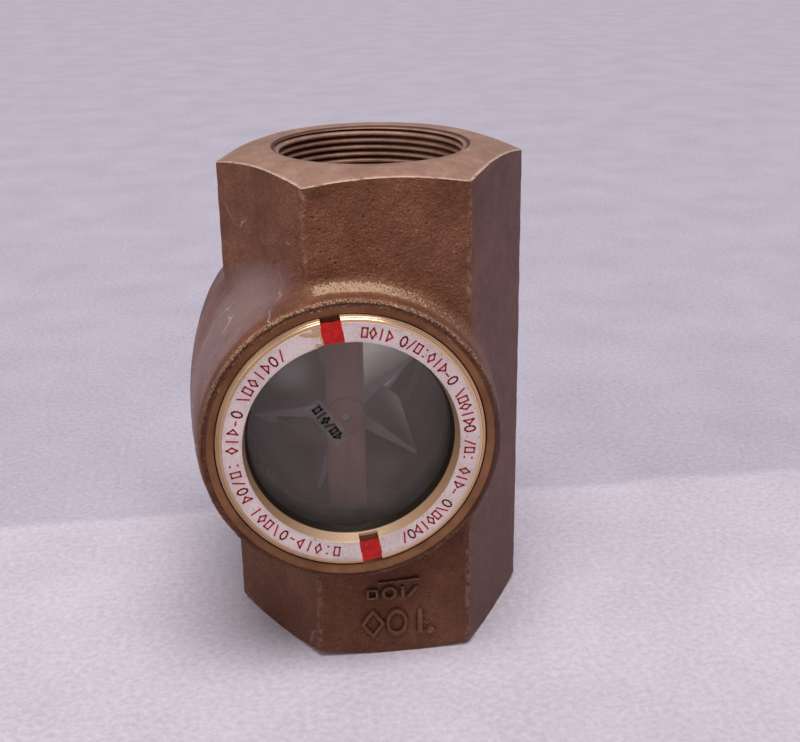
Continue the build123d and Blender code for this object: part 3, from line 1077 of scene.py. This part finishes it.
label_outline = [
    (EYE_FACE_R, RING_OUT),
    (LABEL_R, RING_OUT),
    (LABEL_R, RIM_OUT - 0.05 * MM),
    (LABEL_R - 0.05 * MM, RIM_OUT),
    (EYE_FACE_R, RIM_OUT),
]
label = lathe("front_label", label_outline, steps=RING_STEPS)
cut(label, block((3 * LABEL_R, MARKER_W, CUT_THROUGH), (0, 0, RIM_OUT)))
labels = {"rear": copy_of(label, "rear_label"), "front": label}
for length, width, radius, angle, lean in TEARS:
    cut(label, tear(length * MM, width * MM, radius * MM, math.radians(angle), math.radians(lean)))
for side, piece in labels.items():
    shade(piece, 30)
    place(piece, side, SLOT_TURN[side])
    fit(piece, "housing", "label_white", [f"{side}_label_ring"], LABEL_WHITE)

# %% [markdown]
# A red marker bridges each end of the slot. It is thin film with nothing behind it in the middle, so it
# has sagged and creased. A grid is dented by noise and given its thickness.

# %% Slot markers
def marker(angle):
    """A creased red film over one end of the slot."""
    middle = (MARKER_IN_R + MARKER_OUT_R) / 2
    bpy.ops.mesh.primitive_grid_add(x_subdivisions=18, y_subdivisions=18, size=1)
    piece = bpy.context.object
    piece.location = (middle, 0, RIM_OUT - LABEL_T / 2)
    settle(piece, (MARKER_OUT_R - MARKER_IN_R, MARKER_W, 1))
    roughen(piece, "crease", "VORONOI", 3.0 * MM, direction="Z", strength=0.6 * MM, mid_level=0.9)
    apply_modifier(piece, "SOLIDIFY", thickness=0.12 * MM, offset=0.0)
    piece.rotation_euler = (0, 0, angle)
    return settle(piece)


for side in ("front", "rear"):
    markers = join([marker(0.0), marker(math.pi)], f"{side}_markers")
    shade(markers, 40)
    place(markers, side, SLOT_TURN[side])
    fit(markers, "housing", "label_red", [f"{side}_slot_markers"], LABEL_RED)

# %% [markdown]
# The print on the ring is a row of small red figures round each half. They are plain shapes with no
# meaning: bars, slopes, dashes, squares, diamonds, flags, rings and spots, grouped as words are. Each is
# built from thin strokes, and each word takes the next few shapes in turn.

# %% Print on the label
PRINT_R = 34.75 * MM
FIGURE_H = 3.1 * MM
FIGURE_W = 1.75 * MM
INK_W = 0.50 * MM
INK_T = 0.03 * MM


def closed_shape(corners, first, size=1.0):
    """The strokes of an even outline with a number of corners."""
    turns = [math.radians(first + 360 * k / corners) for k in range(corners)]
    points = [(size * math.cos(turn), size * math.sin(turn)) for turn in turns]
    return list(zip(points, points[1:] + points[:1]))


FIGURES = {
    "tall": [((0, -1), (0, 1))],
    "slope": [((-0.7, -1), (0.7, 1))],
    "fall": [((-0.7, 1), (0.7, -1))],
    "dash": [((-0.6, -0.2), (0.6, -0.2))],
    "square": closed_shape(4, 45, 1.25),
    "diamond": closed_shape(4, 0),
    "flag": closed_shape(3, 0, 1.1),
    "round": closed_shape(10, 0),
    "spots": [((-0.12, 0.7), (0.12, 0.7)), ((-0.12, -0.8), (0.12, -0.8))],
}
FIGURE_ORDER = [
    "square", "diamond", "tall", "flag", "round", "slope", "square", "spots", "diamond", "tall", "flag",
    "dash", "round", "fall",
]
WORD_GAP = math.radians(3.4)
RIGHT_RUN = (math.radians(-15), math.radians(3.95), (4, 9, 6, 3, 4, 8))
LEFT_RUN = (math.radians(-197), math.radians(4.7), (11, 5, 5, 7))


def strokes_of(figure, width, height, ink, stand):
    """A figure's thin straight strokes, about its middle; `stand` puts it in its place."""
    made = []
    for (x0, y0), (x1, y1) in FIGURES[figure]:
        dx, dy = (x1 - x0) * width / 2, (y1 - y0) * height / 2
        bpy.ops.mesh.primitive_cube_add(size=1)
        made.append(bpy.context.object)
        middle = Matrix.Translation(((x0 + x1) * width / 4, (y0 + y1) * height / 4, 0))
        size = Matrix.Diagonal((math.hypot(dx, dy) + ink, ink, INK_T, 1))
        made[-1].data.transform(stand @ middle @ Matrix.Rotation(math.atan2(dy, dx), 4, "Z") @ size)
    return made


def figure_angles(start, step, words):
    """The angle of each figure in a run of words, going clockwise from a start."""
    angle = start
    for length in words:
        for _ in range(length):
            yield angle
            angle -= step
        angle -= WORD_GAP


def print_ring(name):
    """All of the figures of one ring, with its slot level."""
    angles = [angle for run in (RIGHT_RUN, LEFT_RUN) for angle in figure_angles(*run)]
    strokes = []
    for figure, angle in zip(itertools.cycle(FIGURE_ORDER), angles):
        stand = Matrix.Rotation(angle - math.pi / 2, 4, "Z")
        stand = stand @ Matrix.Translation((0, PRINT_R, RIM_OUT + INK_T / 2))
        strokes += strokes_of(figure, FIGURE_W, FIGURE_H, INK_W, stand)
    return join(strokes, name)


inked = print_ring("front_print")
prints = {"front": inked, "rear": copy_of(inked, "rear_print")}
for side, piece in prints.items():
    place(piece, side, SLOT_TURN[side])
    fit(piece, "housing", "label_red", finish=PRINT_RED)

# %% [markdown]
# The glass is thick and old. It has a smoky tint and a film of scale inside, so it hides most of what
# is behind it and still shines, and its colour grows lighter towards the top as a painted reflection.
# Plain alpha says how much shows through, and a little haze varies it.

# %% Glass, rubber, plastic and steel finishes
GLASS_ALPHA = 0.38


def window_glass():
    f = Finish("window_glass", Roughness=0.06, IOR=1.5, Specular_IOR_Level=0.5)
    haze = f.noise(14 * MM, detail=5.0, roughness=0.6)
    streak = f.noise(7 * MM, detail=3.0, stretch=(1, 1, 0.3))
    alpha = GLASS_ALPHA + (haze - 0.5) * 0.16 + (streak - 0.5) * 0.06
    colour = f.ramp(haze, (0.35, rgb(0.158, 0.123, 0.120)), (0.65, rgb(0.202, 0.163, 0.159)))
    # painted reflection: the glass is made lighter towards the top; the mask named scale below carries
    # this light
    scale = (f.axis("Z") - CENTRE.z).step(-6 * MM, 34 * MM)
    colour = f.mix(scale * 0.72, colour, rgb(0.40, 0.345, 0.34))
    return f.wear(Base_Color=colour, Alpha=alpha, Roughness=(0.04 + haze * 0.06).clamped())


def soft_dull(name, dark, light, size, roughness, bump):
    """A plain matt stuff: two close tones in soft blotches and a fine uneven surface."""
    f = Finish(name)
    cloud = f.noise(size * MM, detail=5.0, roughness=0.6)
    fine = f.noise(size * MM / 14, detail=3.0)
    colour = f.ramp(cloud * 0.7 + fine * 0.3, (0.38, dark), (0.62, light))
    return f.wear(
        Base_Color=colour,
        Roughness=(roughness + (cloud - 0.5) * 0.3).clamped(),
        Normal=f.bump(fine + cloud, bump * MM, 0.6),
    )


def strap_bronze():
    """Rolled strip: tan, with long fine lines from the rolling."""
    f = Finish("strap_bronze", Metallic=0.6)
    cloud = f.noise(8 * MM, detail=5.0, roughness=0.65)
    lines = f.noise(1.2 * MM, detail=3.0, stretch=(1, 1, 0.03))
    tone = cloud * 0.6 + lines * 0.4
    colour = f.ramp(tone, (0.36, rgb(0.54, 0.27, 0.18)), (0.64, rgb(0.74, 0.41, 0.29)))
    return f.wear(
        Base_Color=colour,
        Roughness=(0.36 + cloud * 0.3).clamped(),
        Normal=f.bump(lines, 0.05 * MM, 0.5),
    )


def shaft_steel():
    f = Finish("shaft_steel", Metallic=0.1)
    cloud = f.noise(1.4 * MM, detail=4.0)
    colour = f.ramp(cloud, (0.35, rgb(0.86, 0.86, 0.85)), (0.65, rgb(0.97, 0.97, 0.96)))
    return f.wear(
        Base_Color=colour,
        Roughness=(0.22 + cloud * 0.25).clamped(),
        Normal=f.bump(cloud, 0.03 * MM, 0.5),
    )


def clear_film():
    """Thin clear film with wrinkles that catch the light, and a painted highlight along its edges."""
    f = Finish("clear_film", Roughness=0.18)
    wrinkle = f.noise(2.2 * MM, detail=3.0, distortion=0.8)
    fleck = f.noise(0.5 * MM, detail=2.0).step(0.60, 0.70)
    # painted highlight: the film's edges are made more opaque, so they show as a pale line
    edge_highlight = f.node("NewGeometry", output="Pointiness").step(0.52, 0.62)
    return f.wear(
        Base_Color=f.ramp(wrinkle, (0.4, rgb(0.20, 0.18, 0.17)), (0.6, rgb(0.34, 0.31, 0.30))),
        Alpha=(0.04 + wrinkle * 0.10 + fleck * 0.08 + edge_highlight * 0.5).clamped(),
        Roughness=(0.12 + wrinkle * 0.2).clamped(),
        Normal=f.bump(wrinkle, 0.12 * MM, 0.8),
    )


WINDOW_GLASS = window_glass()
SOFT_STUFFS = {
    # dark tone, light tone, blotch size in mm, roughness, bump in mm
    "black_rubber": (rgb(0.008, 0.008, 0.008), rgb(0.020, 0.019, 0.018), 9, 0.6, 0.06),
    "slip_fibre": (rgb(0.020, 0.017, 0.014), rgb(0.045, 0.038, 0.032), 6, 0.6, 0.04),
    "slip_plastic": (rgb(0.30, 0.27, 0.23), rgb(0.42, 0.39, 0.34), 9, 0.5, 0.03),
    "rotor_plastic": (rgb(0.74, 0.70, 0.69), rgb(0.90, 0.86, 0.84), 12, 0.4, 0.04),
    "black_ink": (rgb(0.006, 0.008, 0.007), rgb(0.014, 0.018, 0.015), 1.5, 0.5, 0.02),
}
SOFT = {name: soft_dull(name, *look) for name, look in SOFT_STUFFS.items()}
STRAP_BRONZE = strap_bronze()
SHAFT_STEEL = shaft_steel()
CLEAR_FILM = clear_film()
print("window finishes ready")

# %% [markdown]
# Glass and gaskets are turned pieces in a stack. A pressed rubber ring bulges a little between what
# squeezes it, so its inner side is curved, and the glass has ground chamfers.

# %% Glasses and gaskets
GASKET_R = outer_radius("front_seal_gasket")
GASKET_HOLE_R = 30.8 * MM
GLASS_CHAMFER = 0.6 * MM
BULGE = 0.3 * MM
STACK_STEPS = 160


def gasket(name, start, end, bulge):
    """A washer whose inner side is pressed out by a bulge."""
    corner = min(0.2 * MM, (end - start) / 4)
    outline = [
        (GASKET_HOLE_R + bulge, start),
        (GASKET_R - corner, start),
        (GASKET_R, start + corner),
        (GASKET_R, end - corner),
        (GASKET_R - corner, end),
        (GASKET_HOLE_R + bulge, end),
        (GASKET_HOLE_R + bulge * 0.3, end - corner),
        (GASKET_HOLE_R, (start + end) / 2),
        (GASKET_HOLE_R + bulge * 0.3, start + corner),
    ]
    return lathe(name, outline, steps=STACK_STEPS)


def disc(name, hole, radius, start, end, edge, steps):
    """A flat disc or washer with a chamfered rim; a hole of 0 leaves it whole."""
    outline = [
        (hole, start),
        (radius - edge, start),
        (radius, start + edge),
        (radius, end - edge),
        (radius - edge, end),
        (hole, end),
    ]
    return lathe(name, outline, closed=hole > 0, steps=steps)


for side in ("front", "rear"):
    pane = disc(f"{side}_glass", 0, GLASS_R, GLASS_IN, GLASS_OUT, GLASS_CHAMFER, STACK_STEPS)
    shade(pane)
    place(pane, side)
    fit(pane, "housing", "window_glass", [f"{side}_window_glass"], WINDOW_GLASS)
    for part, bulge, slot, finish in (
        ("seal_gasket", BULGE, "black_rubber", SOFT["black_rubber"]),
        ("cushion_gasket", BULGE, "black_rubber", SOFT["black_rubber"]),
        ("slip_washer", 0.1 * MM, "slip_plastic", SOFT["slip_fibre"]),
    ):
        start, end = reach(f"front_{part}")
        piece = gasket(f"{side}_{part.split('_')[0]}", start, end, bulge)
        shade(piece, 50)
        place(piece, side)
        fit(piece, "housing", slot, [f"{side}_{part}"], finish)

# %% [markdown]
# Across each seat lies a flat bronze strap with a riveted boss that carries the shaft. The strap was
# sheared from strip, so its long edges are slightly rolled over. The boss is turned, with a domed head,
# and the shaft's end shows in its middle as a bright dot.

# %% Straps, bosses, washers and shaft
SHAFT_R = (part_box("rotor_shaft")[1].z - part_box("rotor_shaft")[0].z) / 2
SHAFT_END = reach("rotor_shaft")[1]
STRAP_IN, STRAP_OUT = reach("front_bracket_strap")
STRAP_END_R = outer_radius("front_bracket_strap")
BOSS_R = outer_radius("front_shaft_boss")
BOSS_IN, BOSS_OUT = reach("front_shaft_boss")
STEM_R = 3.5 * MM
WASHER_IN, WASHER_OUT = reach("front_thrust_washer")
WASHER_R = outer_radius("front_thrust_washer")
PLAY = 0.02 * MM


def strap(name):
    """The part of a disc that lies under a bar, with a hole for the boss and its edges rolled over."""
    inner, outer = STEM_R, STRAP_END_R
    outline = [(inner, STRAP_IN), (outer, STRAP_IN), (outer, STRAP_OUT), (inner, STRAP_OUT)]
    piece = lathe(name, outline, steps=96)
    cut(piece, block((strap_size.x, 3 * STRAP_END_R, 5 * MM), (0, 0, STRAP_OUT)), "INTERSECT")
    edges = {"limit_method": "ANGLE", "angle_limit": math.radians(40)}
    apply_modifier(piece, "BEVEL", width=0.22 * MM, segments=2, **edges)
    return piece


def boss(name):
    """A rivet-shaped bearing: a stem through the strap and a low domed head on it."""
    rise = BOSS_OUT - STRAP_OUT
    outline = [
        (SHAFT_R + PLAY, BOSS_IN),
        (STEM_R - 0.3 * MM, BOSS_IN),
        (STEM_R, BOSS_IN + 0.3 * MM),
        (STEM_R, STRAP_OUT),
        (BOSS_R, STRAP_OUT),
        (BOSS_R, STRAP_OUT + rise * 0.45),
        (BOSS_R - 0.35 * MM, STRAP_OUT + rise * 0.85),
        (BOSS_R - 1.0 * MM, BOSS_OUT),
        (SHAFT_R + 0.6 * MM, BOSS_OUT),
        (SHAFT_R + PLAY, BOSS_OUT - 0.25 * MM),
    ]
    return lathe(name, outline, steps=72)


def thrust(name):
    """The thin washer between a boss and the rotor."""
    return disc(name, SHAFT_R + 0.1 * MM, WASHER_R, WASHER_IN, WASHER_OUT, 0.1 * MM, 64)


for side in ("front", "rear"):
    for make, node, slot, finish in (
        (strap, "bracket_strap", "strap_bronze", STRAP_BRONZE),
        (boss, "shaft_boss", "strap_bronze", STRAP_BRONZE),
        (thrust, "thrust_washer", "slip_plastic", SOFT["slip_plastic"]),
    ):
        piece = make(f"{side}_{make.__name__}")
        shade(piece, 40)
        fit(place(piece, side), "housing", slot, [f"{side}_{node}"], finish)

dome = [
    (SHAFT_R * math.cos(turn), SHAFT_END - 0.9 * SHAFT_R * (1 - math.sin(turn)))
    for turn in (math.radians(15 * step) for step in range(6))
]
half_shaft = [*dome, (0, SHAFT_END)]
other_end = [(radius, -out) for radius, out in reversed(half_shaft)]
shaft = lathe("shaft", other_end + half_shaft, closed=False, steps=48)
shade(shaft, 40)
place(shaft)
fit(shaft, "housing", "shaft_steel", ["rotor_shaft"], SHAFT_STEEL)

# %% [markdown]
# The rotor is one moulding: a hub with wedge-shaped blades that taper to a thin tip. The frame's solid
# already has the right shape, so it stays, and only gets what a mould would give it: welded skin, small
# radii on its edges and a milky plastic finish. The bushes in its hub are treated in the same way.

# %% Rotor and bushes
def carry(node, finish, radius):
    """Keeps one of the frame's solids and finishes it in place."""
    piece = frame["nodes"][node]
    piece.data.materials.clear()
    piece.data.materials.append(finish)
    weld = piece.modifiers.new("Weld", "WELD")
    weld.merge_threshold = MM / 1000
    bevel = piece.modifiers.new("Bevel", "BEVEL")
    bevel.width = radius
    bevel.segments = 2
    bevel.limit_method = "ANGLE"
    bevel.angle_limit = math.radians(35)
    print(f"{node}: edge radius {radius / MM:.2f} mm")


carry("rotor", SOFT["rotor_plastic"], 0.3 * MM)
carry("front_rotor_bush", SOFT["slip_plastic"], 0.12 * MM)
carry("rear_rotor_bush", SOFT["slip_plastic"], 0.12 * MM)

# %% [markdown]
# An inspector's sticker lies on the front glass: a strip of clear film with a row of black marks. The
# film is wrinkled, so it is a dented grid with a thickness. Its marks are plain strokes.

# %% Inspection sticker
STICKER_L = 15.6 * MM
STICKER_W = 5.0 * MM
STICKER_T = 0.2 * MM
STICKER_AT = Vector((-6.3 * MM, 3.2 * MM, GLASS_OUT))
STICKER_TURN = math.radians(-56)
STICKER_FIGURES = ("square", "tall", "diamond", "slope", "square", "flag")
STICKER_STEP = 2.1 * MM
STICKER_FIGURE_W = 1.4 * MM
STICKER_FIGURE_H = 2.4 * MM
STICKER_INK_W = 0.72 * MM


def lay_on_glass(piece):
    """Turns and moves a flat piece from the origin to the sticker's place on the front glass."""
    piece.data.transform(Matrix.Translation(STICKER_AT) @ Matrix.Rotation(STICKER_TURN, 4, "Z"))
    place(piece)
    return piece


bpy.ops.mesh.primitive_grid_add(x_subdivisions=48, y_subdivisions=16, size=1)
film = bpy.context.object
film.name = "sticker"
film.location = (0, 0, STICKER_T * 0.4)
settle(film, (STICKER_L, STICKER_W, 1))
roughen(film, "film_wrinkles", "CLOUDS", 1.9 * MM, direction="Z", strength=0.12 * MM, mid_level=0.5)
apply_modifier(film, "SOLIDIFY", thickness=0.05 * MM, offset=0.0)
shade(film, 60)
lay_on_glass(film)
fit(film, "housing", "clear_film", ["inspection_sticker"], CLEAR_FILM)

ink = []
for index, figure in enumerate(STICKER_FIGURES):
    across = (index - (len(STICKER_FIGURES) - 1) / 2) * STICKER_STEP
    stand = Matrix.Translation((across, 0, STICKER_T))
    ink += strokes_of(figure, STICKER_FIGURE_W, STICKER_FIGURE_H, STICKER_INK_W, stand)
sticker_marks = join(ink, "sticker_marks")
lay_on_glass(sticker_marks)
fit(sticker_marks, "housing", "black_rubber", finish=SOFT["black_ink"])

# %% [markdown]
# ## Studio
# The fitting stands on a pale lilac-white sheet. Beyond a fold just behind it the sheet is darker, as
# painted shade where an upright backdrop would stand, and it is also darker towards the front. The light
# is soft and even: a sun as wide as an overcast sky, a weak panel on the left and a pale world.

# %% Floor and backdrop
FLOOR_HALF = 9.0
FOLD_AT = 67 * MM
FOLD_SOFT = 4 * MM
FOLD_WANDER = 12 * MM


def sheet_finish():
    f = Finish("pale_sheet", Roughness=0.85, Specular_IOR_Level=0.2)
    cloud = f.noise(45 * MM, detail=4.0)
    fleck = f.noise(2.2 * MM, detail=4.0, roughness=0.65)
    tone = cloud * 0.3 + fleck * 0.7
    near = f.ramp(tone, (0.35, rgb(0.485, 0.430, 0.480)), (0.65, rgb(0.645, 0.575, 0.640)))
    # painted shade: beyond the fold the sheet takes these darker far tones, standing in for a backdrop
    # in shade
    far = f.ramp(tone, (0.35, rgb(0.385, 0.350, 0.410)), (0.65, rgb(0.515, 0.470, 0.545)))
    fold = f.axis("Y") + (cloud - 0.5) * FOLD_WANDER
    colour = f.mix(fold.step(FOLD_AT - FOLD_SOFT, FOLD_AT + FOLD_SOFT), near, far)
    # darker towards the front
    front = (-1 * f.axis("Y")).step(50 * MM, 170 * MM) * 0.35
    colour = f.mix(front, colour, rgb(0.40, 0.33, 0.33))
    return f.wear(Base_Color=colour, Normal=f.bump(fleck + cloud * 0.5, 0.8 * MM, 0.35))


bpy.ops.mesh.primitive_plane_add(size=2 * FLOOR_HALF, location=(0, 0, 0))
sheet = bpy.context.object
sheet.name = "sheet"
sheet.data.materials.append(sheet_finish())
print("sheet laid")

# %% Lights and world
LAMP_COLOUR = (1.0, 0.99, 1.0)


def lamp(name, kind, location, power, **settings):
    """A light that is aimed at the middle of the windows."""
    bpy.ops.object.light_add(type=kind, location=location)
    light = bpy.context.object
    light.name = name
    light.data.energy = power
    light.data.color = LAMP_COLOUR
    for key, value in settings.items():
        setattr(light.data, key, value)
    light.rotation_euler = (CENTRE - light.location).to_track_quat("-Z", "Y").to_euler()


lamp("overhead", "SUN", (0.0, -0.40, 1.35), 2.9, angle=math.radians(42))
lamp("left_fill", "AREA", (-1.3, -0.7, 0.7), 4.5, size=0.9)
world = bpy.data.worlds.new("overcast")
bpy.context.scene.world = world
world.use_nodes = True
sky = world.node_tree.nodes["Background"]
sky.inputs["Color"].default_value = rgb(0.80, 0.80, 0.88)
sky.inputs["Strength"].default_value = 0.30
bpy.context.scene.view_settings.view_transform = "Standard"
print("studio lit")
